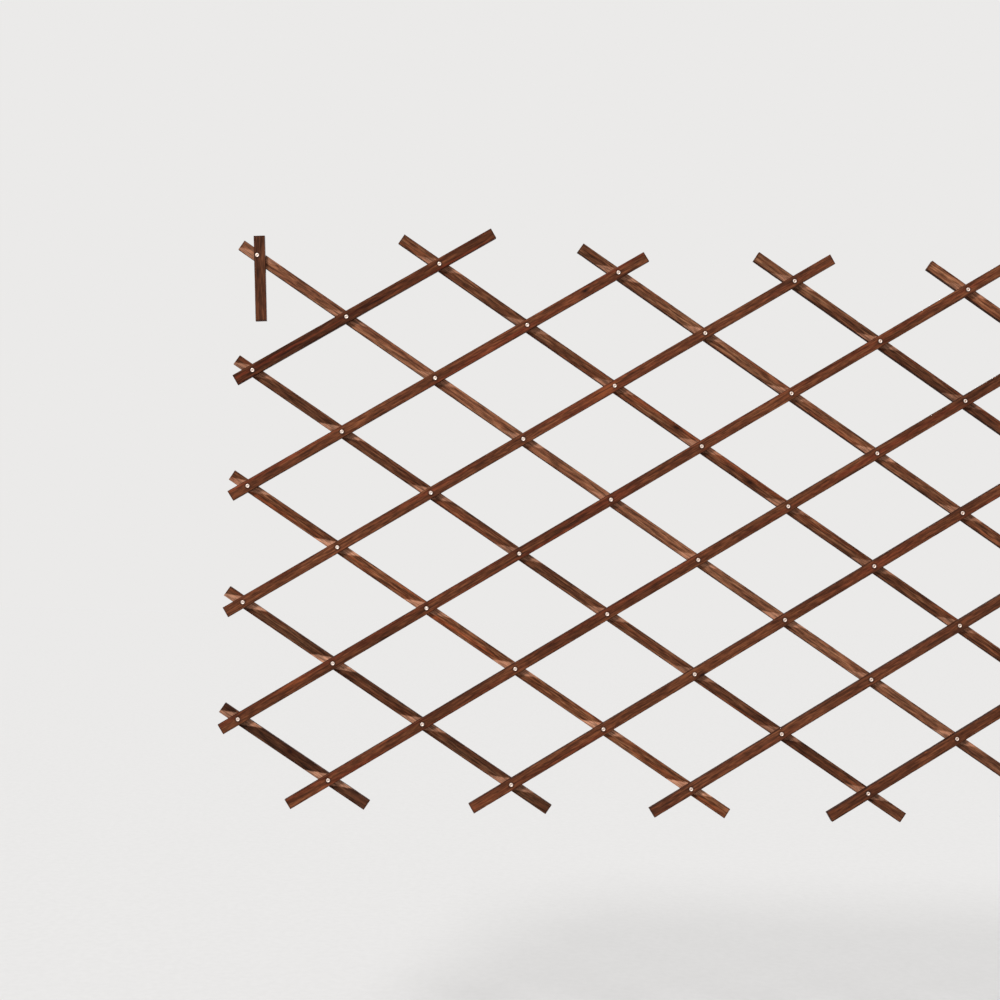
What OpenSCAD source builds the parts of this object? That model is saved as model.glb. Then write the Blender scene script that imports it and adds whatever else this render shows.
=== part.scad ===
// Expanding plant trellis: front and back slats, riveted where they cross, that fold like scissors.
// X runs to the right along the panel, Z runs up and the front faces -Y.
// The origin is on the axis of the rivet nearest the middle, in the plane of the wall behind the panel.
// Rivets are counted in half cells from the top left corner, x right and y down, where x + y is even.

/* [Lattice] */
// Distance between neighbouring rivets along a slat
pitch = 175; // [130:1:220]
// Slope of the slats from level at the opening shown
slope = 32.4; // [26:0.1:48]
// Half cells across the panel
half_cells_across = 12; // [8:2:16]
// Half cells down the panel
half_cells_down = 9; // [5:2:13]

/* [Slats] */
// Width of a slat
slat_width = 18; // [14:0.5:30]
// Thickness of a slat
slat_thickness = 9; // [6:0.5:14]
// Length of slat past the last rivet at the left and right edges
side_overhang = 32; // [15:1:60]
// Length of slat past the last rivet at the top and bottom edges
edge_overhang = 75; // [30:1:85]
// Length of the first whole front slat past its rivet at the top edge
first_front_overhang = 103; // [30:1:120]
// Length of the second whole front slat past its rivet at the top edge
second_front_overhang = 54; // [30:1:120]
// Gap between the two layers where slats cross
layer_gap = 0.2; // [0.1:0.1:1]

/* [Corner slats] */
// Length of a corner slat above its only rivet
corner_above = 31.5; // [15:0.5:60]
// Length of a corner slat below its only rivet
corner_below = 107; // [60:1:115]
// Tilt from plumb of the left corner slat as it hangs
left_corner_tilt = 3.7; // [0:0.1:10]
// Distance from the left corner slat's rivet to the slat's centre line
left_corner_offset = 3.9; // [0:0.1:4]

/* [Rivets] */
// Outer diameter of a rivet's shank
shank_diameter = 5; // [4:0.1:5.5]
// Diameter of the hole through a rivet
bore_diameter = 2.4; // [1.6:0.1:3]
// Diameter of the rolled rim at the front
rim_diameter = 7; // [6:0.1:9]
// Diameter of the flat head at the back
head_diameter = 9; // [7:0.1:11]
// Thickness of the flat head
head_thickness = 1; // [0.6:0.1:1.6]
// Depth of the flat head below the back face
head_sink = 0.2; // [0.1:0.1:0.6]
// Radial play of a shank in its hole
shank_play = 0.05; // [0.02:0.01:0.1]
// Play round a flat head and above it in its recess
head_play = 0.2; // [0.1:0.1:0.5]

/* [Hidden] */
$fn = 48;
plumb = -90;
overcut = 1;
front_wood = [0.33, 0.19, 0.15];
back_wood = [0.46, 0.28, 0.22];
aluminium = [0.80, 0.81, 0.82];

front_layer = slat_thickness + layer_gap;
stack = front_layer + slat_thickness;
half_cell = [pitch * cos(slope), pitch * sin(slope)];
last_column = round(half_cells_across);
last_row = round(half_cells_down);
last_front = floor((last_column + last_row) / 2);
lowest_back = -floor(last_row / 2);
last_back = floor(last_column / 2) - lowest_back;
has_right_corner = last_column % 2 == 0;

mid_x = floor(last_column / 2);
mid_y = floor(last_row / 2) - (mid_x + floor(last_row / 2)) % 2;

// Place of a rivet in the plane of the panel
function rivet_at(x, y) = [(x - mid_x) * half_cell.x, (mid_y - y) * half_cell.y];

// First and last column of the rivets on a front slat, where x + y = 2 n
function front_from(n) = max(0, 2 * n - last_row);
function front_to(n) = min(last_column, 2 * n);

// First and last column of the rivets on a back slat, where x - y = 2 (n + lowest_back)
function back_step(n) = 2 * (n + lowest_back);
function back_from(n) = max(0, back_step(n));
function back_to(n) = min(last_column, last_row + back_step(n));

// Length of a front slat past its upper rivet, which is at the top edge or the right edge
function front_upper_overhang(n) =
    front_to(n) == last_column ? side_overhang
    : n == 1 ? first_front_overhang
    : n == 2 ? second_front_overhang
    : edge_overhang;

function front_name(n) = n == 0 ? "top_left_corner_slat" : str("front_slat_", n);
function rivets_name(n) = n == 0 ? "top_left_corner_rivet" : str("front_slat_", n, "_rivets");
function back_name(n) =
    n == last_back && has_right_corner ? "top_right_corner_slat" : str("back_slat_", n + 1);

// Stands what is drawn flat, with the wall below it, up against the wall
module upright() {
    rotate([90, 0, 0]) children();
}

module rivet_hole() {
    translate([0, 0, -overcut])
        cylinder(d = shank_diameter + 2 * shank_play, h = slat_thickness + 2 * overcut);
}

module head_recess() {
    translate([0, 0, -overcut])
        cylinder(
            d = head_diameter + 2 * head_play,
            h = overcut + head_sink + head_thickness + head_play
        );
}

// A slat along +X with its first rivet at the origin, and its centre line aside of the rivets
module drilled_slat(rivets, before, after, recessed, aside = 0) {
    difference() {
        translate([-before, aside - slat_width / 2, 0])
            cube([before + (rivets - 1) * pitch + after, slat_width, slat_thickness]);
        for (i = [0 : rivets - 1])
            translate([i * pitch, 0, 0]) {
                rivet_hole();
                if (recessed) head_recess();
            }
    }
}

// A slat that hangs from its only rivet
module corner_slat(tilt, recessed, aside) {
    rotate(plumb + tilt)
        drilled_slat(1, corner_above, corner_below, recessed, aside);
}

module front_slat(n) {
    first = front_from(n);
    rivets = front_to(n) - first + 1;
    color(front_wood) upright()
        translate([0, 0, front_layer])
            translate(rivet_at(first, 2 * n - first))
                if (rivets == 1)
                    corner_slat(left_corner_tilt, false, left_corner_offset);
                else
                    rotate(slope)
                        drilled_slat(
                            rivets,
                            first == 0 ? side_overhang : edge_overhang,
                            front_upper_overhang(n),
                            false
                        );
}

module back_slat(n) {
    first = back_from(n);
    rivets = back_to(n) - first + 1;
    color(back_wood) upright()
        translate(rivet_at(first, first - back_step(n)))
            if (rivets == 1)
                corner_slat(0, true, 0);
            else
                rotate(-slope)
                    drilled_slat(
                        rivets,
                        first == 0 ? side_overhang : edge_overhang,
                        back_to(n) == last_column ? side_overhang : edge_overhang,
                        true
                    );
}

// A tubular rivet: a flat head at the back, a shank through both slats and a rim rolled over the front
module rivet() {
    bore = bore_diameter / 2;
    roll = (rim_diameter - bore_diameter) / 4;
    rotate_extrude() {
        translate([bore, head_sink])
            square([shank_diameter / 2 - bore, stack - head_sink]);
        translate([bore, head_sink])
            square([head_diameter / 2 - bore, head_thickness]);
        intersection() {
            translate([bore + roll, stack]) circle(roll);
            translate([bore, stack]) square([2 * roll, roll]);
        }
    }
}

// The rivets that turn with a front slat, apart from the one in the middle of the panel
module front_rivets(n) {
    color(aluminium) upright()
        for (x = [front_from(n) : front_to(n)])
            if (x != mid_x || 2 * n - x != mid_y)
                translate(rivet_at(x, 2 * n - x)) rivet();
}

module centre_rivet() {
    color(aluminium) upright() rivet();
}

for (n = [0 : last_front]) {
    front_slat(n);
    front_rivets(n);
}
for (n = [0 : last_back]) {
    back_slat(n);
}
centre_rivet();
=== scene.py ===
import math

import bpy
from mathutils import Matrix, Vector


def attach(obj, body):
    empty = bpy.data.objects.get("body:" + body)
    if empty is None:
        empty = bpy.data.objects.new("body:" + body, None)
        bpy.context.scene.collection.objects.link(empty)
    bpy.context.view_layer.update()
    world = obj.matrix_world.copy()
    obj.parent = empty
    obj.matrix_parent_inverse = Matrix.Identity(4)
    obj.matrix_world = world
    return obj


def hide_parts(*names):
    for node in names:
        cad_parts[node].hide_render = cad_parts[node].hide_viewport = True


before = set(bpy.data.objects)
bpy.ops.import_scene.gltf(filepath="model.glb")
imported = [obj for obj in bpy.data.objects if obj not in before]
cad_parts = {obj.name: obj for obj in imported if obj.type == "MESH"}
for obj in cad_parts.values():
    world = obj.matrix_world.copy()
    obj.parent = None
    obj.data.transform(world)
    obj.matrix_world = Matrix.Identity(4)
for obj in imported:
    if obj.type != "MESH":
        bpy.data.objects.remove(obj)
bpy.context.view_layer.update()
mm = 0.001

# Camera, fitted to the rivets of the photograph in its 1000 pixel frame

view = {
    "focalPixels": 1400,
    "framePixels": 1000,
    "sensorWidth": 36,
    "clipStart": 10 * mm,
    "place": (-0.625, -2.297, -0.083),
    "ahead": (0.0644, 0.9974, 0.0331),
    "up": (-0.0377, -0.0308, 0.9988),
}


def setCamera():
    lens = bpy.data.cameras.new("photoCamera")
    lens.sensor_width = view["sensorWidth"]
    lens.lens = view["focalPixels"] / view["framePixels"] * view["sensorWidth"]
    lens.clip_start = view["clipStart"]
    ahead = Vector(view["ahead"]).normalized()
    right = ahead.cross(Vector(view["up"])).normalized()
    up = right.cross(ahead)
    turn = Matrix((right, up, -ahead)).transposed().to_4x4()
    camera = bpy.data.objects.new("photoCamera", lens)
    camera.matrix_world = Matrix.Translation(view["place"]) @ turn
    bpy.context.scene.collection.objects.link(camera)
    bpy.context.scene.camera = camera
    print("camera set, lens", round(lens.lens, 1))


setCamera()


# Small helpers for node trees

def addNode(tree, kind, values=None, **settings):
    node = tree.nodes.new(kind)
    for key, value in settings.items():
        setattr(node, key, value)
    for key, value in (values or {}).items():
        if isinstance(value, bpy.types.NodeSocket):
            tree.links.new(value, node.inputs[key])
        else:
            node.inputs[key].default_value = value
    return node


def shadeMath(tree, operation, a, b=0.0, c=0.0):
    values = {0: a, 1: b, 2: c}
    return addNode(tree, "ShaderNodeMath", values, operation=operation).outputs[0]


def centred(tree, value):
    return shadeMath(tree, "SUBTRACT", value, 0.5)


def distance(tree, a, b):
    squares = shadeMath(tree, "MULTIPLY_ADD", a, a, shadeMath(tree, "MULTIPLY", b, b))
    return shadeMath(tree, "SQRT", squares)


def combine(tree, x, y, z):
    return addNode(tree, "ShaderNodeCombineXYZ", {0: x, 1: y, 2: z}).outputs[0]


def separate(tree, vector):
    return addNode(tree, "ShaderNodeSeparateXYZ", {0: vector}).outputs


def attribute(tree, name, output="Vector"):
    return addNode(tree, "ShaderNodeAttribute", attribute_name=name).outputs[output]


def times(tree, vector, factors):
    values = {0: vector, 1: factors}
    return addNode(tree, "ShaderNodeVectorMath", values, operation="MULTIPLY").outputs[0]


def stretch(tree, vector, along, across):
    return times(tree, vector, (along, across, across))


def noise(tree, vector, seed, octaves, rough=0.55, scale=1.0):
    values = {"Vector": vector, "W": seed, "Scale": scale, "Detail": octaves, "Roughness": rough}
    return addNode(tree, "ShaderNodeTexNoise", values, noise_dimensions="4D").outputs[0]


def cloudNoise(tree, vector, scale, octaves):
    values = {"Vector": vector, "Scale": scale, "Detail": octaves}
    return addNode(tree, "ShaderNodeTexNoise", values).outputs[0]


def mapRange(tree, value, low, high, lowResult, highResult, kind="LINEAR"):
    values = {"Value": value, "From Min": low, "From Max": high, "To Min": lowResult, "To Max": highResult}
    return addNode(tree, "ShaderNodeMapRange", values, interpolation_type=kind).outputs[0]


# Rises from none at the first value to the top at the second
def smoothStep(tree, value, none, full, top=1.0):
    return mapRange(tree, value, none, full, 0.0, top, "SMOOTHSTEP")


def paint(red, green, blue):
    linear = []
    for level in (red / 255, green / 255, blue / 255):
        linear.append(level / 12.92 if level <= 0.04045 else ((level + 0.055) / 1.055) ** 2.4)
    return (*linear, 1.0)


def ramp(tree, value, places, colours):
    node = addNode(tree, "ShaderNodeValToRGB", {0: value})
    bands = node.color_ramp.elements
    while len(bands) < len(places):
        bands.new(1.0)
    for band, place, colour in zip(bands, places, colours):
        band.position = place
        band.color = colour
    return node.outputs[0]


def blend(tree, factor, under, over):
    return addNode(tree, "ShaderNodeMix", {0: factor, 6: under, 7: over}, data_type="RGBA").outputs[2]


def shade(tree, colour, factor):
    values = {0: colour, "Scale": factor}
    return addNode(tree, "ShaderNodeVectorMath", values, operation="SCALE").outputs[0]


# Lighter and darker by a noise, about its middle
def mottle(tree, colour, cloud, depth):
    return shade(tree, colour, shadeMath(tree, "MULTIPLY_ADD", cloud, depth, 1 - depth / 2))


def addBump(tree, height, strength, depth):
    return addNode(tree, "ShaderNodeBump", {"Height": height, "Strength": strength, "Distance": depth})


def newMaterial(name, **constants):
    material = bpy.data.materials.new(name)
    material.use_nodes = True
    shader = material.node_tree.nodes["Principled BSDF"]
    for key, value in constants.items():
        shader.inputs[key].default_value = value
    return material, material.node_tree, shader


# Lattice: rivets are counted in half cells from the top left corner

lattice = {
    "pitch": 175 * mm,
    "slope": math.radians(32.4),
    "columns": 12,
    "rows": 9,
    "middle": (6, 4),
}
lastFront = (lattice["columns"] + lattice["rows"]) // 2
lowestBack = -(lattice["rows"] // 2)
lastBack = lattice["columns"] // 2 - lowestBack

slat = {
    "width": 18 * mm,
    "thickness": 9 * mm,
    "layerGap": 0.2 * mm,
    "sideOverhang": 32 * mm,
    "edgeOverhang": 75 * mm,
    "upperOverhangs": {1: 103 * mm, 2: 54 * mm},     # the first two front slats, at the top edge
    "arris": 0.7 * mm,
    "arrisSteps": 3,
    "ringEvery": 6 * mm,
    "sectionCuts": 5,
    "barWeld": 0.01 * mm,
    "holeWidth": 5.5 * mm,       # clear of the shank where the slat waves
    "recessWidth": 9.8 * mm,
    "recessDepth": 1.4 * mm,
    "drillSides": 24,
    "drillWeld": 0.005 * mm,
    "waviness": 0.3 * mm,
    "wavesPerMetre": 4.0,
    "waveOctaves": 1.0,
    "endSkew": 0.02,         # most that an end is off square
    "skewStep": 2.4,         # from slat to slat, in radians
    "wear": 1.4 * mm,        # how deep the worst nicks in the arrises go
    "nickWaves": (75.0, 240.0),      # per metre, along and across
    "nickOctaves": 2.0,
    "nickLevels": (0.55, 0.95),
    "nickReach": 0.4 * mm,
    "shapeRough": 0.5,       # share of finer waves in the two noises above
    "seedStep": 1.7,
    "backSeed": 20,
}

cornerSlat = {
    "above": 31.5 * mm,
    "below": 107 * mm,
    "leftTilt": math.radians(3.7),
    "leftAside": 3.9 * mm,
    "leftSeed": 41,
    "rightSeed": 42,
}

frontLayer = slat["thickness"] + slat["layerGap"]


def rivetPlace(x, y):
    column, row = lattice["middle"]
    side = (x - column) * lattice["pitch"] * math.cos(lattice["slope"])
    height = (row - y) * lattice["pitch"] * math.sin(lattice["slope"])
    return Vector((side, 0, height))


# First and last column of the rivets on a front slat, where x + y = 2 n
def frontColumns(n):
    return max(0, 2 * n - lattice["rows"]), min(lattice["columns"], 2 * n)


# First and last column of the rivets on a back slat, where x - y = 2 m
def backColumns(m):
    return max(0, 2 * m), min(lattice["columns"], lattice["rows"] + 2 * m)


# Looks of single slats: tone is lighter or darker, warmth is redder, dry is how pale the dry strips are.
# Knots and worn spots are (along, across, size) in mm from the slat's first rivet.

slatLooks = {
    "top_left_corner_slat": {"tone": 0.70, "warmth": 0.30, "dry": 0.5},
    "front_slat_1": {"tone": 0.74, "warmth": 1.00, "dry": 0.5},
    "front_slat_2": {"tone": 1.05, "warmth": 0.65, "dry": 0.6, "knots": [(636, 1, 1.8)]},
    "front_slat_3": {
        "tone": 1.13, "warmth": 0.50, "dry": 0.5, "knots": [(1230, -4, 2)], "worn": (682, 1, 6),
    },
    "front_slat_4": {"tone": 1.02, "warmth": 0.55, "dry": 0.7, "worn": (104, 3, 5)},
    "front_slat_5": {"tone": 0.92, "warmth": 0.55, "dry": 0.5},
    "front_slat_6": {"tone": 1.10, "warmth": 0.55, "dry": 0.6, "knots": [(361, -7, 2.4)]},
    "front_slat_7": {"tone": 1.05, "warmth": 0.25, "dry": 0.4},
    "front_slat_8": {"tone": 1.05, "warmth": 0.50, "dry": 0.6, "knots": [(420, 4, 2)]},
    "front_slat_9": {"tone": 0.90, "warmth": 0.55, "dry": 0.5, "worn": (120, -3, 4)},
    "front_slat_10": {"tone": 1.02, "warmth": 0.40, "dry": 0.6},
    "back_slat_1": {"tone": 0.55, "warmth": 0.30, "dry": 0.6, "knots": [(98, 2, 2.5)]},
    "back_slat_2": {"tone": 0.57, "warmth": 0.50, "dry": 0.78},
    "back_slat_3": {"tone": 1.10, "warmth": 0.85, "dry": 0.85},
    "back_slat_4": {"tone": 0.82, "warmth": 0.50, "dry": 0.52, "knots": [(1071, 0, 2.5)]},
    "back_slat_5": {"tone": 1.28, "warmth": 0.10, "dry": 0.5},
    "back_slat_6": {
        "tone": 0.92, "warmth": 0.60, "dry": 0.42, "knots": [(474, 3, 3), (626, -2, 2.6)],
    },
    "back_slat_7": {"tone": 0.98, "warmth": 0.45, "dry": 0.6},
    "back_slat_8": {"tone": 0.90, "warmth": 0.50, "dry": 0.5},
    "back_slat_9": {"tone": 1.10, "warmth": 0.40, "dry": 0.6, "knots": [(300, -3, 2.4)]},
    "back_slat_10": {"tone": 0.95, "warmth": 0.55, "dry": 0.5},
    "top_right_corner_slat": {"tone": 0.95, "warmth": 0.35, "dry": 0.5},
}
nowhere = (-9000, 0, 1)      # a spot far off the slat


# Wood: grainSpace holds metres along, across and through each slat

def grainParts(tree):
    space = attribute(tree, "grainSpace")
    along, across, depth = separate(tree, space)
    tone, warmth, seed = separate(tree, attribute(tree, "slatLook"))
    start, end, aside = separate(tree, attribute(tree, "slatSpan"))
    pitch = lattice["pitch"]
    nearest = shadeMath(tree, "ROUND", shadeMath(tree, "DIVIDE", along, pitch))
    fromRivet = shadeMath(tree, "SUBTRACT", along, shadeMath(tree, "MULTIPLY", nearest, pitch))
    return {
        "space": space,
        "along": along,
        "across": across,
        "depth": depth,
        "nearest": nearest,
        "fromRivet": fromRivet,
        "tone": tone,
        "warmth": warmth,
        "seed": seed,
        "start": start,
        "end": end,
        "aside": aside,
        "rubbed": attribute(tree, "rubbedDepth", "Fac"),
        "dryShare": attribute(tree, "dryShare", "Fac"),
    }


# Noises in the wood: waves per metre along and across the slat, then octaves
pattern = {
    "drift": (2.2, 34.0, 2.0),
    "ember": (3.6, 120.0, 3.0),
    "lines": (26.0, 2100.0, 2.0),
    "pores": (42.0, 1500.0, 2.0),
    "sweep": (5.0, 0.0, 2.0),
    "wobble": (130.0, 320.0, 3.0),
    "seep": (55.0, 420.0, 3.0),
}

# Steps are (none at, full at), and then how strong they are in full
stain = {
    "fibreShare": 0.72,
    "levels": (0.36, 0.50, 0.64),      # of the deep, body and pale colours
    "ember": (0.46, 0.70),
    "weathering": 0.28,
    "fleck": (0.34, 0.66),
    "lineDepth": 0.7,
    "pore": (0.60, 0.74, 0.55),
    "poreDip": (0.58, 0.72, 0.4),
    "sweepDepth": 1.2,
    "knotLength": 2.0,       # along the slat, for one across
    "knotHalo": (3.2, 1.0, 0.7),
    "knotHeart": (1.3, 0.4, 0.85),
    "wobble": 1.6,
    # painted shade: darker along both edges of a slat
    "side": (1.1 * mm, 0.2 * mm, 0.75),      # from the slat's edge
    # painted shade: darker in a ring around each rivet, from its axis
    "rivetShade": (7.0 * mm, 3.6 * mm, 0.55),      # from a rivet's axis
    "end": (3.0 * mm, 0.2 * mm, 0.6),        # from the slat's end
    "bareGrain": (0.35, 0.75, 0.6),
    "wornLength": 5.0,
    "worn": (1.6, 0.3, 0.9),
    "wornGrain": (0.34, 0.56),
    "rubbed": (0.1 * mm, 0.5 * mm, 0.6),
    "roughLevels": (0.25, 0.75),
    "bump": 0.55,
}

# How the folded panel was dipped in stain
dip = {
    "lean": math.radians(24.5),      # of a crossing slat from the slat below it
    "outside": 0.8 * mm,
    "inside": 1.6 * mm,
    "ragged": 5 * mm,
    "luck": 0.6,
    "skin": (0.8 * mm, 0.3 * mm),      # below the face that was covered
}

frontWood = {
    "deep": paint(59, 29, 16),
    "body": paint(102, 55, 32),
    "pale": paint(139, 84, 53),
    "streak": paint(141, 57, 33),
    # dark pore colour, also used for the painted shade along the sides and around the rivets
    "pore": paint(46, 23, 15),
    "dry": paint(186, 130, 100),
    "heart": paint(36, 17, 12),
    "worn": paint(158, 86, 50),
    "weathered": paint(96, 66, 52),
    "fibre": (16.0, 400.0, 6.0, 0.62),       # as in pattern, then the share of finer waves
    "fleck": (58.0, 450.0, 4.0, 0.62),
    "fleckDepth": 0.85,
    "glow": 0.7,
    "specular": 0.09,
    "roughness": (0.50, 0.72),
    "relief": 0.35 * mm,
}

backWood = {
    "deep": paint(68, 35, 21),
    "body": paint(107, 62, 38),
    "pale": paint(155, 107, 76),
    "streak": paint(150, 74, 41),
    # dark pore colour, also used for the painted shade along the sides and around the rivets
    "pore": paint(52, 27, 19),
    "dry": paint(222, 164, 132),
    "heart": paint(38, 18, 13),
    "worn": paint(158, 92, 60),
    "weathered": paint(120, 85, 68),
    "fibre": (18.0, 330.0, 6.0, 0.62),
    "fleck": (46.0, 420.0, 4.0, 0.62),
    "fleckDepth": 1.1,
    "glow": 1.0,
    "specular": 0.08,
    "roughness": (0.62, 0.85),
    "relief": 0.6 * mm,
}

sawMarks = {
    "scale": 95.0,
    "distortion": 2.5,
    "octaves": 2.0,
    "finer": 1.5,
    "bump": 0.18,
    "relief": 0.3 * mm,
}


def grainNoise(tree, grain, along, across, octaves, rough=0.55):
    return noise(tree, stretch(tree, grain["space"], along, across), grain["seed"], octaves, rough)


# How far a point is from a knot or a worn spot, in sizes of it, so many times longer along the slat
def spotReach(tree, grain, name, longer):
    spotAlong, spotAcross, size = separate(tree, attribute(tree, name))
    along = shadeMath(tree, "DIVIDE", shadeMath(tree, "SUBTRACT", grain["along"], spotAlong), longer)
    across = shadeMath(tree, "SUBTRACT", grain["across"], spotAcross)
    reach = shadeMath(tree, "DIVIDE", distance(tree, along, across), size)
    wobble = centred(tree, grainNoise(tree, grain, *pattern["wobble"]))
    return shadeMath(tree, "MULTIPLY_ADD", wobble, stain["wobble"], reach)


# The strip that the crossing slat kept dry when the folded panel was dipped in stain
def dryStrip(tree, grain, lean, belowFace):
    offLine = shadeMath(
        tree, "SUBTRACT",
        shadeMath(tree, "MULTIPLY", grain["across"], math.cos(lean)),
        shadeMath(tree, "MULTIPLY", grain["fromRivet"], math.sin(lean)))
    seep = centred(tree, grainNoise(tree, grain, *pattern["seep"]))
    ragged = shadeMath(tree, "MULTIPLY", seep, dip["ragged"])
    offEdge = shadeMath(tree, "ADD", shadeMath(tree, "ABSOLUTE", offLine), ragged)
    edge = slat["width"] / 2
    strip = smoothStep(tree, offEdge, edge + dip["outside"], edge - dip["inside"])

    # some crossings were tighter than others
    lot = {"Vector": combine(tree, grain["nearest"], grain["seed"], 0.0)}
    luck = addNode(tree, "ShaderNodeTexWhiteNoise", lot, noise_dimensions="3D").outputs[0]
    strength = shadeMath(tree, "MULTIPLY_ADD", luck, dip["luck"], dip["luck"])
    strength = shadeMath(tree, "MULTIPLY", strength, grain["dryShare"])
    strip = shadeMath(tree, "MULTIPLY", strip, strength)
    return shadeMath(tree, "MULTIPLY", strip, smoothStep(tree, belowFace, *dip["skin"]))


def grainColour(tree, grain, wood):
    fibre = grainNoise(tree, grain, *wood["fibre"])
    drift = grainNoise(tree, grain, *pattern["drift"])
    drift = shadeMath(tree, "MULTIPLY", drift, 1 - stain["fibreShare"])
    level = shadeMath(tree, "MULTIPLY_ADD", fibre, stain["fibreShare"], drift)
    colour = ramp(tree, level, stain["levels"], (wood["deep"], wood["body"], wood["pale"]))

    # redder streaks follow the grain, and a slat with less warmth has weathered
    ember = smoothStep(tree, grainNoise(tree, grain, *pattern["ember"]), *stain["ember"], wood["glow"])
    colour = blend(tree, shadeMath(tree, "MULTIPLY", ember, grain["warmth"]), colour, wood["streak"])
    grey = stain["weathering"]
    weathered = shadeMath(tree, "MULTIPLY_ADD", grain["warmth"], -grey, grey)
    colour = blend(tree, weathered, colour, wood["weathered"])

    # flecks where fibres stand up, fine fibre lines and short dark pores
    depth = wood["fleckDepth"]
    fleck = smoothStep(tree, grainNoise(tree, grain, *wood["fleck"]), *stain["fleck"], depth)
    fleck = shadeMath(tree, "ADD", fleck, 1 - depth / 2)
    colour = shade(tree, colour, fleck)
    colour = mottle(tree, colour, grainNoise(tree, grain, *pattern["lines"]), stain["lineDepth"])
    pore = grainNoise(tree, grain, *pattern["pores"])
    colour = blend(tree, smoothStep(tree, pore, *stain["pore"]), colour, wood["pore"])

    # a slow drift along the slat
    colour = mottle(tree, colour, grainNoise(tree, grain, *pattern["sweep"]), stain["sweepDepth"])
    colour = shade(tree, colour, grain["tone"])
    return colour, fibre, fleck, pore


# Knots and sawn ends that soaked up more stain, with painted shade along the slat's sides and in a ring
# around each rivet
def soakedAndShadedColour(tree, grain, wood, colour):
    for name in ("knotOne", "knotTwo"):
        reach = spotReach(tree, grain, name, stain["knotLength"])
        colour = blend(tree, smoothStep(tree, reach, *stain["knotHalo"]), colour, wood["deep"])
        colour = blend(tree, smoothStep(tree, reach, *stain["knotHeart"]), colour, wood["heart"])
    offLine = shadeMath(tree, "ABSOLUTE", shadeMath(tree, "SUBTRACT", grain["across"], grain["aside"]))
    toSide = shadeMath(tree, "SUBTRACT", slat["width"] / 2, offLine)
    toAxis = distance(tree, grain["across"], grain["fromRivet"])
    toEnd = shadeMath(
        tree, "MINIMUM",
        shadeMath(tree, "SUBTRACT", grain["along"], grain["start"]),
        shadeMath(tree, "SUBTRACT", grain["end"], grain["along"]))
    # painted shade along both sides and in a ring around each rivet, and darker sawn ends soaked with
    # stain, all in the pore colour
    for reach, step in ((toSide, "side"), (toAxis, "rivetShade"), (toEnd, "end")):
        colour = blend(tree, smoothStep(tree, reach, *stain[step]), colour, wood["pore"])
    return colour


# Bare wood, with the grain in it: the dry strip, a worn spot and rubbed arrises
def bareColour(tree, grain, wood, colour, fibre, fleck, strip):
    bare = blend(tree, smoothStep(tree, fibre, *stain["bareGrain"]), wood["dry"], wood["streak"])
    colour = blend(tree, strip, colour, shade(tree, bare, fleck))
    reach = spotReach(tree, grain, "wornSpot", stain["wornLength"])
    worn = shadeMath(
        tree, "MULTIPLY",
        smoothStep(tree, reach, *stain["worn"]),
        smoothStep(tree, fibre, *stain["wornGrain"]))
    colour = blend(tree, worn, colour, wood["worn"])
    return blend(tree, smoothStep(tree, grain["rubbed"], *stain["rubbed"]), colour, wood["worn"])


def finishWood(tree, shader, grain, wood, strip):
    colour, fibre, fleck, pore = grainColour(tree, grain, wood)
    colour = soakedAndShadedColour(tree, grain, wood, colour)
    colour = bareColour(tree, grain, wood, colour, fibre, fleck, strip)
    tree.links.new(colour, shader.inputs["Base Color"])
    smooth, rough = wood["roughness"]
    sheen = mapRange(tree, fibre, *stain["roughLevels"], rough, smooth)
    tree.links.new(sheen, shader.inputs["Roughness"])
    height = shadeMath(tree, "SUBTRACT", fibre, smoothStep(tree, pore, *stain["poreDip"]))
    bump = addBump(tree, height, stain["bump"], wood["relief"])
    tree.links.new(bump.outputs[0], shader.inputs["Normal"])
    return bump


def makeFrontStain():
    material, tree, shader = newMaterial("frontStain", **{"Specular IOR Level": frontWood["specular"]})
    grain = grainParts(tree)
    strip = dryStrip(tree, grain, -dip["lean"], grain["depth"])
    finishWood(tree, shader, grain, frontWood, strip)
    return material


def makeBackStain():
    material, tree, shader = newMaterial("backStain", **{"Specular IOR Level": backWood["specular"]})
    grain = grainParts(tree)
    belowFront = shadeMath(tree, "SUBTRACT", slat["thickness"], grain["depth"])
    strip = dryStrip(tree, grain, dip["lean"], belowFront)
    bump = finishWood(tree, shader, grain, backWood, strip)

    # saw marks across the slat
    values = {
        "Vector": grain["space"],
        "Scale": sawMarks["scale"],
        "Distortion": sawMarks["distortion"],
        "Detail": sawMarks["octaves"],
        "Detail Scale": sawMarks["finer"],
    }
    marks = addNode(tree, "ShaderNodeTexWave", values, wave_type="BANDS", bands_direction="X").outputs[1]
    saw = addBump(tree, marks, sawMarks["bump"], sawMarks["relief"])
    tree.links.new(saw.outputs[0], bump.inputs["Normal"])
    return material


# Metal: rivetSpace holds metres from each rivet's own middle, with its axis along y

aluminium = {
    "dull": paint(244, 220, 206),
    "bright": paint(255, 240, 228),
    "levels": (0.3, 0.7),
    "cloud": (700.0, 4.0),       # scale and octaves
    # painted shade on the rim's outer edge, where it meets the wood
    "rimShade": paint(74, 58, 50),
    "rimShadeStep": (2.5 * mm, 3.2 * mm, 0.85),     # from the axis
    "ragged": 0.7 * mm,
    "drawnStep": (1.5 * mm, 1.25 * mm),
    "shine": (0.0, 1.2),
    "roughness": (0.12, 0.55),
    "ringEvery": 0.35 * mm,
    "ringDepth": 0.06,
    "dents": (1500.0, 2.0),
    "bump": 0.35,
    "relief": 0.12 * mm,
}


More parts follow.
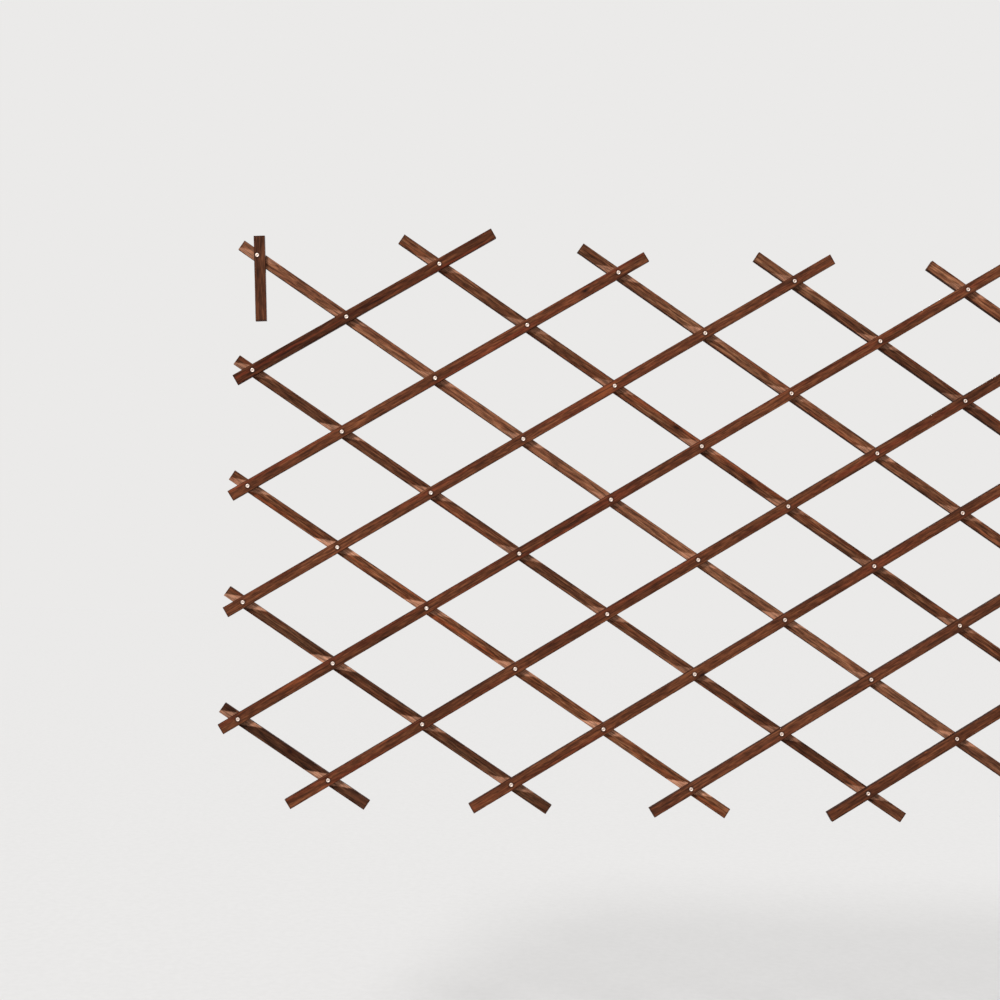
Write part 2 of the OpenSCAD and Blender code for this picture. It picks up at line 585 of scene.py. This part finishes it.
def makeBrightAluminium():
    material, tree, shader = newMaterial("brightAluminium", Metallic=1.0)
    world = addNode(tree, "ShaderNodeTexCoord").outputs["Object"]
    offAxis = times(tree, attribute(tree, "rivetSpace"), (1.0, 0.0, 1.0))
    radius = addNode(tree, "ShaderNodeVectorMath", {0: offAxis}, operation="LENGTH").outputs["Value"]
    cloud = cloudNoise(tree, world, *aluminium["cloud"])
    colour = ramp(tree, cloud, aluminium["levels"], (aluminium["dull"], aluminium["bright"]))

    # painted shade on the outer edge of the rim where it meets the wood, rougher there, and a smooth bore
    ragged = shadeMath(tree, "MULTIPLY_ADD", centred(tree, cloud), aluminium["ragged"], radius)
    rimShade = smoothStep(tree, ragged, *aluminium["rimShadeStep"])
    colour = blend(tree, rimShade, colour, aluminium["rimShade"])
    tree.links.new(colour, shader.inputs["Base Color"])
    drawn = smoothStep(tree, radius, *aluminium["drawnStep"])
    shine = shadeMath(tree, "ADD", shadeMath(tree, "SUBTRACT", cloud, rimShade), drawn)
    smooth, rough = aluminium["roughness"]
    tree.links.new(mapRange(tree, shine, *aluminium["shine"], rough, smooth), shader.inputs["Roughness"])

    # rings from the setting tool and small dents
    turns = shadeMath(tree, "MULTIPLY", radius, 2 * math.pi / aluminium["ringEvery"])
    dents = cloudNoise(tree, world, *aluminium["dents"])
    rings = shadeMath(tree, "SINE", turns)
    height = shadeMath(tree, "MULTIPLY_ADD", rings, aluminium["ringDepth"], dents)
    bump = addBump(tree, height, aluminium["bump"], aluminium["relief"])
    tree.links.new(bump.outputs[0], shader.inputs["Normal"])
    return material


frontStain = makeFrontStain()
backStain = makeBackStain()
brightAluminium = makeBrightAluminium()
print("stains and metal made")


# Node trees for what repeats

sharpAngle = math.radians(40)


def newTree(name, inputs):
    tree = bpy.data.node_groups.new(name, "GeometryNodeTree")
    tree.is_modifier = True
    tree.interface.new_socket("Mesh", in_out="OUTPUT", socket_type="NodeSocketGeometry")
    for kind, labels in inputs.items():
        for label in labels:
            tree.interface.new_socket(label, in_out="INPUT", socket_type="NodeSocket" + kind)
    return tree, tree.nodes.new("NodeGroupInput").outputs


def endTree(tree, shape, material):
    whole = addNode(tree, "GeometryNodeRealizeInstances", {0: shape}).outputs[0]
    values = {"Geometry": whole, "Material": material}
    dressed = addNode(tree, "GeometryNodeSetMaterial", values).outputs[0]
    tree.links.new(dressed, tree.nodes.new("NodeGroupOutput").inputs[0])


def fromTree(name, tree, values):
    shell = bpy.data.objects.new(name, bpy.data.meshes.new(name))
    bpy.context.scene.collection.objects.link(shell)
    modifier = shell.modifiers.new("shape", "NODES")
    modifier.node_group = tree
    for item in tree.interface.items_tree:
        if item.in_out == "INPUT":
            modifier[item.identifier] = values[item.name]
    bpy.context.view_layer.update()
    depsgraph = bpy.context.evaluated_depsgraph_get()
    mesh = bpy.data.meshes.new_from_object(shell.evaluated_get(depsgraph), depsgraph=depsgraph)
    shell.modifiers.clear()
    shell.data = mesh
    mesh.name = name
    mesh.polygons.foreach_set("use_smooth", [True] * len(mesh.polygons))
    mesh.set_sharp_from_angle(angle=sharpAngle)
    return shell


def position(tree):
    return addNode(tree, "GeometryNodeInputPosition").outputs[0]


def keep(tree, shape, name, value, kind="FLOAT_VECTOR"):
    values = {"Geometry": shape, "Name": name, "Value": value}
    settings = {"data_type": kind, "domain": "POINT"}
    return addNode(tree, "GeometryNodeStoreNamedAttribute", values, **settings).outputs[0]


def weld(tree, shape, reach):
    return addNode(tree, "GeometryNodeMergeByDistance", {"Geometry": shape, "Distance": reach}).outputs[0]


def shift(tree, shape, offset):
    return addNode(tree, "GeometryNodeSetPosition", {"Geometry": shape, "Offset": offset}).outputs[0]


def pointsInLine(tree, count, start, step):
    values = {"Count": count, "Start Location": start, "Offset": step}
    return addNode(tree, "GeometryNodeMeshLine", values, mode="OFFSET").outputs[0]


# Slats

# The section with its eased arrises, swept along the centre line
def sweepBar(tree, given, start, end, middle):
    values = {
        "Start": combine(tree, start, given["Aside"], middle),
        "End": combine(tree, end, given["Aside"], middle),
    }
    line = addNode(tree, "GeometryNodeCurvePrimitiveLine", values).outputs[0]
    values = {"Curve": line, "Length": given["Ring Every"]}
    path = addNode(tree, "GeometryNodeResampleCurve", values, mode="LENGTH").outputs[0]
    values = {"Width": given["Width"], "Height": given["Thickness"]}
    section = addNode(tree, "GeometryNodeCurvePrimitiveQuadrilateral", values).outputs[0]
    values = {"Curve": section, "Cuts": given["Section Cuts"]}
    section = addNode(tree, "GeometryNodeSubdivideCurve", values).outputs[0]
    values = {"Curve": section, "Radius": given["Arris"], "Count": slat["arrisSteps"]}
    section = addNode(tree, "GeometryNodeFilletCurve", values, mode="POLY").outputs[0]
    values = {"Curve": path, "Profile Curve": section, "Fill Caps": True}
    bar = addNode(tree, "GeometryNodeCurveToMesh", values).outputs[0]
    return weld(tree, bar, slat["barWeld"])


def cutRound(tree, given, shape, width, depth, centre):
    radius = shadeMath(tree, "DIVIDE", width, 2.0)
    values = {"Vertices": slat["drillSides"], "Radius": radius, "Depth": depth}
    drill = addNode(tree, "GeometryNodeMeshCylinder", values).outputs["Mesh"]
    start = combine(tree, 0.0, 0.0, centre)
    points = pointsInLine(tree, given["Rivets"], start, combine(tree, given["Pitch"], 0.0, 0.0))
    values = {"Points": points, "Instance": drill}
    drills = addNode(tree, "GeometryNodeInstanceOnPoints", values).outputs[0]
    solid = addNode(tree, "GeometryNodeRealizeInstances", {0: drills}).outputs[0]
    settings = {"operation": "DIFFERENCE", "solver": "EXACT"}
    return addNode(tree, "GeometryNodeMeshBoolean", {0: shape, 1: solid}, **settings).outputs[0]


# Rivet holes and, in a back slat, recesses for the rivet heads
def drillBar(tree, given, bar, middle):
    through = shadeMath(tree, "MULTIPLY", given["Thickness"], 2.0)
    drilled = cutRound(tree, given, bar, given["Hole Width"], through, middle)
    twiceDepth = shadeMath(tree, "MULTIPLY", given["Recess Depth"], 2.0)
    sunk = cutRound(tree, given, drilled, given["Recess Width"], twiceDepth, 0.0)
    recessed = shadeMath(tree, "GREATER_THAN", given["Recess Depth"], 0.0)
    values = {"Switch": recessed, "False": drilled, "True": sunk}
    cut = addNode(tree, "GeometryNodeSwitch", values, input_type="GEOMETRY").outputs[0]
    return weld(tree, cut, slat["drillWeld"])


# Ends a little off square, edges a little off straight
def waveBar(tree, given, bar, seed):
    along, across, _ = separate(tree, position(tree))
    line = combine(tree, along, 0.0, 0.0)
    sway = noise(tree, line, seed, slat["waveOctaves"], slat["shapeRough"], slat["wavesPerMetre"])
    aside = shadeMath(tree, "MULTIPLY", centred(tree, sway), given["Waviness"])
    skew = shadeMath(tree, "MULTIPLY", across, given["End Skew"])
    return shift(tree, bar, combine(tree, skew, aside, 0.0))


# Nicks and rubbed places, which only go inwards and only at the arrises
def rubBar(tree, given, bar, seed, middle):
    spot = position(tree)
    _, across, depth = separate(tree, spot)
    fromLine = shadeMath(tree, "SUBTRACT", across, given["Aside"])
    fromMiddle = shadeMath(tree, "SUBTRACT", depth, middle)
    nickSpace = stretch(tree, spot, *slat["nickWaves"])
    rubbed = noise(tree, nickSpace, seed, slat["nickOctaves"], slat["shapeRough"])
    nick = shadeMath(tree, "MULTIPLY", smoothStep(tree, rubbed, *slat["nickLevels"]), given["Wear"])
    for place, size in ((fromLine, given["Width"]), (fromMiddle, given["Thickness"])):
        flat = shadeMath(tree, "SUBTRACT", shadeMath(tree, "DIVIDE", size, 2.0), given["Arris"])
        past = shadeMath(tree, "SUBTRACT", shadeMath(tree, "ABSOLUTE", place), flat)
        nick = shadeMath(tree, "MULTIPLY", nick, smoothStep(tree, past, -slat["nickReach"], 0.0))
    bar = keep(tree, bar, "rubbedDepth", nick, "FLOAT")
    back = shadeMath(tree, "MULTIPLY", nick, -1.0)
    inwards = []
    for place in (fromLine, fromMiddle):
        inwards.append(shadeMath(tree, "MULTIPLY", shadeMath(tree, "SIGN", place), back))
    return shift(tree, bar, combine(tree, 0.0, *inwards))


def makeSlatTree():
    tree, given = newTree("slatTree", {
        "Float": (
            "Before", "After", "Pitch", "Width", "Thickness", "Aside", "Arris", "Ring Every", "Hole Width",
            "Recess Width", "Recess Depth", "Waviness", "End Skew", "Wear", "Dry Share", "Angle",
        ),
        "Int": ("Rivets", "Section Cuts"),
        "Vector": ("Look", "Knot One", "Knot Two", "Worn Spot", "Place"),
        "Material": ("Stain",),
    })
    middle = shadeMath(tree, "DIVIDE", given["Thickness"], 2.0)
    start = shadeMath(tree, "MULTIPLY", given["Before"], -1.0)
    gaps = shadeMath(tree, "SUBTRACT", given["Rivets"], 1.0)
    end = shadeMath(tree, "MULTIPLY_ADD", gaps, given["Pitch"], given["After"])
    seed = separate(tree, given["Look"])[2]
    bar = sweepBar(tree, given, start, end, middle)
    bar = drillBar(tree, given, bar, middle)
    bar = waveBar(tree, given, bar, seed)
    bar = rubBar(tree, given, bar, seed, middle)

    # what the stain reads, kept before the slat goes to its place
    bar = keep(tree, bar, "grainSpace", position(tree))
    bar = keep(tree, bar, "slatLook", given["Look"])
    bar = keep(tree, bar, "dryShare", given["Dry Share"], "FLOAT")
    bar = keep(tree, bar, "slatSpan", combine(tree, start, end, given["Aside"]))
    bar = keep(tree, bar, "knotOne", given["Knot One"])
    bar = keep(tree, bar, "knotTwo", given["Knot Two"])
    bar = keep(tree, bar, "wornSpot", given["Worn Spot"])
    turn = combine(tree, math.pi / 2, shadeMath(tree, "MULTIPLY", given["Angle"], -1.0), 0.0)
    values = {"Geometry": bar, "Translation": given["Place"], "Rotation": turn}
    endTree(tree, addNode(tree, "GeometryNodeTransform", values).outputs[0], given["Stain"])
    return tree


slatTree = makeSlatTree()


def addSlat(name, layer, first, count, before, after, angle, aside, seed):
    looks = slatLooks[name]
    knots = looks.get("knots", []) + [nowhere, nowhere]
    front = layer == "front"
    piece = fromTree(name + "_wood", slatTree, {
        "Before": before,
        "After": after,
        "Rivets": count,
        "Pitch": lattice["pitch"],
        "Width": slat["width"],
        "Thickness": slat["thickness"],
        "Aside": aside,
        "Arris": slat["arris"],
        "Ring Every": slat["ringEvery"],
        "Hole Width": slat["holeWidth"],
        "Recess Width": slat["recessWidth"],
        "Recess Depth": 0.0 if front else slat["recessDepth"],
        "Waviness": slat["waviness"],
        "End Skew": slat["endSkew"] * math.sin(slat["skewStep"] * seed),
        "Section Cuts": slat["sectionCuts"],
        "Wear": slat["wear"],
        "Look": (looks["tone"], looks["warmth"], slat["seedStep"] * seed),
        "Dry Share": looks["dry"],
        "Knot One": Vector(knots[0]) * mm,
        "Knot Two": Vector(knots[1]) * mm,
        "Worn Spot": Vector(looks.get("worn", nowhere)) * mm,
        "Angle": angle,
        "Place": rivetPlace(*first) - Vector((0, frontLayer if front else 0, 0)),
        "Stain": frontStain if front else backStain,
    })
    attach(piece, name)
    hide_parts(name)


def addSlats():
    side, edge = slat["sideOverhang"], slat["edgeOverhang"]
    slope, last = lattice["slope"], lattice["columns"]
    for n in range(1, lastFront + 1):
        first, final = frontColumns(n)
        before = side if first == 0 else edge
        after = side if final == last else slat["upperOverhangs"].get(n, edge)
        addSlat(f"front_slat_{n}", "front", (first, 2 * n - first), final - first + 1,
                before, after, slope, 0.0, n)
    for n in range(1, lastBack + 1):
        m = lowestBack + n - 1
        first, final = backColumns(m)
        before = side if first == 0 else edge
        after = side if final == last else edge
        addSlat(f"back_slat_{n}", "back", (first, first - 2 * m), final - first + 1,
                before, after, -slope, 0.0, n + slat["backSeed"])
    plumb = -math.pi / 2
    above, below = cornerSlat["above"], cornerSlat["below"]
    addSlat("top_left_corner_slat", "front", (0, 0), 1, above, below,
            plumb + cornerSlat["leftTilt"], cornerSlat["leftAside"], cornerSlat["leftSeed"])
    addSlat("top_right_corner_slat", "back", (last, 0), 1, above, below,
            plumb, 0.0, cornerSlat["rightSeed"])
    print("slats made:", len(slatLooks))


addSlats()


# Tubular rivets: a rim rolled over the front, a flat head in the back

rivet = {
    "bore": 2.4 * mm,
    "shank": 5 * mm,
    "rim": 7 * mm,
    "head": 9 * mm,
    "headThickness": 1 * mm,
    "headSink": 0.2 * mm,
    "headRound": 0.3 * mm,
    "roundShare": 0.3,       # how far in the middle of a rounded corner is
    "flareWidth": 0.3 * mm,
    "flareDepth": 0.4 * mm,
    "sides": 28,
    "rollSteps": 7,
    "cornerSeed": 41,
    "centreSeed": 42,
}


def rivetOutline():
    stack = frontLayer + slat["thickness"]
    bore, shank, head = rivet["bore"] / 2, rivet["shank"] / 2, rivet["head"] / 2
    roll = (rivet["rim"] / 2 - bore) / 2
    low = rivet["headSink"]
    top = low + rivet["headThickness"]
    ease = rivet["headRound"]
    part = ease * rivet["roundShare"]
    outline = [(bore + rivet["flareWidth"], low), (bore, low + rivet["flareDepth"])]
    for step in range(rivet["rollSteps"] + 1):      # over the rolled rim, from the bore outwards
        angle = math.pi * (1 - step / rivet["rollSteps"])
        outline.append((bore + roll + roll * math.cos(angle), stack + roll * math.sin(angle)))
    outline += [(shank, stack), (shank, top), (head - ease, top)]
    outline += [(head - part, top - part), (head, top - ease)]
    outline += [(head, low + ease), (head - part, low + part), (head - ease, low)]
    return outline


def makeRivetShape():
    outline, sides = rivetOutline(), rivet["sides"]
    points, faces = [], []
    for side in range(sides):
        angle = 2 * math.pi * side / sides
        points += [(r * math.cos(angle), -z, r * math.sin(angle)) for r, z in outline]
    count = len(outline)
    for side in range(sides):
        here, there = side * count, (side + 1) % sides * count
        for index in range(count):
            ahead = (index + 1) % count
            faces.append((here + index, here + ahead, there + ahead, there + index))
    mesh = bpy.data.meshes.new("rivetShape")
    mesh.from_pydata(points, [], faces)
    mesh.validate()
    return bpy.data.objects.new("rivetShape", mesh)


# A row of rivets, each turned at random on its axis, with one place left empty
def makeRivetTree(shape):
    tree, given = newTree("rivetTree", {
        "Int": ("Count", "Skip", "Seed"),
        "Float": ("Pitch", "Angle"),
        "Vector": ("Place",),
        "Material": ("Metal",),
    })
    across = shadeMath(tree, "MULTIPLY", given["Pitch"], shadeMath(tree, "COSINE", given["Angle"]))
    up = shadeMath(tree, "MULTIPLY", given["Pitch"], shadeMath(tree, "SINE", given["Angle"]))
    points = pointsInLine(tree, given["Count"], given["Place"], combine(tree, across, 0.0, up))
    index = addNode(tree, "GeometryNodeInputIndex").outputs[0]
    settings = {"data_type": "INT", "operation": "NOT_EQUAL"}
    wanted = addNode(tree, "FunctionNodeCompare", {2: index, 3: given["Skip"]}, **settings).outputs[0]
    values = {"Max": (0.0, 2 * math.pi, 0.0), "Seed": given["Seed"]}
    spin = addNode(tree, "FunctionNodeRandomValue", values, data_type="FLOAT_VECTOR").outputs[0]
    source = addNode(tree, "GeometryNodeObjectInfo", {"Object": shape}).outputs["Geometry"]
    source = keep(tree, source, "rivetSpace", position(tree))
    values = {"Points": points, "Selection": wanted, "Instance": source, "Rotation": spin}
    rivets = addNode(tree, "GeometryNodeInstanceOnPoints", values).outputs[0]
    endTree(tree, rivets, given["Metal"])
    return tree


def addRow(tree, node, body, first, count, seed, skip=-1):
    piece = fromTree(node + "_metal", tree, {
        "Count": count,
        "Skip": skip,
        "Pitch": lattice["pitch"],
        "Angle": lattice["slope"],
        "Place": rivetPlace(*first),
        "Seed": seed,
        "Metal": brightAluminium,
    })
    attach(piece, body)
    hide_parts(node)


def addRivets():
    shape = makeRivetShape()
    tree = makeRivetTree(shape)
    middleColumn, middleRow = lattice["middle"]
    for n in range(1, lastFront + 1):
        first, final = frontColumns(n)
        onMiddle = 2 * n == middleColumn + middleRow
        addRow(tree, f"front_slat_{n}_rivets", f"front_slat_{n}", (first, 2 * n - first),
               final - first + 1, n, middleColumn - first if onMiddle else -1)
    addRow(tree, "top_left_corner_rivet", "top_left_corner_slat", (0, 0), 1, rivet["cornerSeed"])
    addRow(tree, "centre_rivet", "centre_rivet", lattice["middle"], 1, rivet["centreSeed"])
    bpy.data.objects.remove(shape)
    print("rivets made, rows:", lastFront + 2)


addRivets()


# Floor, light and background

studio = {
    "floorHeight": -1.02,
    "floorSize": 30.0,
    "floorColours": (paint(235, 234, 233), paint(238, 237, 236)),
    "floorLevels": (0.3, 0.7),
    "floorCloud": (60.0, 3.0),       # scale and octaves
    "floorRoughness": 0.9,
    "floorBounce": 0.28,
    "worldLight": 0.48,
    "backdrop": paint(235, 234, 233),      # as the floor looks far off
    "lampSpread": math.radians(14),
    "lamps": [     # name, height and side in degrees, strength
        ("softKey", 41, -25, 2.0),
        ("softRear", 12, 155, 1.3),
    ],
}


def inView(tree):
    path = addNode(tree, "ShaderNodeLightPath").outputs
    direct = shadeMath(tree, "MAXIMUM", path["Is Camera Ray"], path["Is Glossy Ray"])
    return shadeMath(tree, "MAXIMUM", direct, path["Is Transmission Ray"])


def makeFloor():
    half = studio["floorSize"] / 2
    mesh = bpy.data.meshes.new("floor")
    corners = [(-half, -half), (half, -half), (half, half), (-half, half)]
    mesh.from_pydata([(x, y, studio["floorHeight"]) for x, y in corners], [], [(0, 1, 2, 3)])
    floor = bpy.data.objects.new("floor", mesh)
    bpy.context.scene.collection.objects.link(floor)
    matt = {"Roughness": studio["floorRoughness"], "Specular IOR Level": 0.0}
    material, tree, shader = newMaterial("paleFloor", **matt)
    place = addNode(tree, "ShaderNodeTexCoord").outputs["Object"]
    cloud = cloudNoise(tree, place, *studio["floorCloud"])
    colour = ramp(tree, cloud, studio["floorLevels"], studio["floorColours"])
    bounce = studio["floorBounce"]      # pale to the eye, dull to the light that it throws back
    seen = blend(tree, inView(tree), (bounce, bounce, bounce, 1.0), colour)
    tree.links.new(seen, shader.inputs["Base Color"])
    mesh.materials.append(material)


def makeLight():
    world = bpy.data.worlds.new("paleStudio")
    world.use_nodes = True
    bpy.context.scene.world = world
    tree = world.node_tree
    light = tree.nodes["Background"]
    light.inputs["Color"].default_value = (1.0, 1.0, 1.0, 1.0)
    light.inputs["Strength"].default_value = studio["worldLight"]
    values = {"Color": studio["backdrop"], "Strength": 1.0}
    seen = addNode(tree, "ShaderNodeBackground", values).outputs[0]
    mixed = addNode(tree, "ShaderNodeMixShader", {0: inView(tree), 1: light.outputs[0], 2: seen})
    tree.links.new(mixed.outputs[0], tree.nodes["World Output"].inputs["Surface"])

    for name, height, side, strength in studio["lamps"]:
        lamp = bpy.data.lights.new(name, "SUN")
        lamp.angle = studio["lampSpread"]
        lamp.energy = strength
        tilt = Matrix.Rotation(math.radians(90 - height), 4, "X")
        holder = bpy.data.objects.new(name, lamp)
        holder.matrix_world = Matrix.Rotation(math.radians(side), 4, "Z") @ tilt
        bpy.context.scene.collection.objects.link(holder)


makeFloor()
makeLight()
bpy.context.scene.view_settings.view_transform = "Standard"
print("studio set")
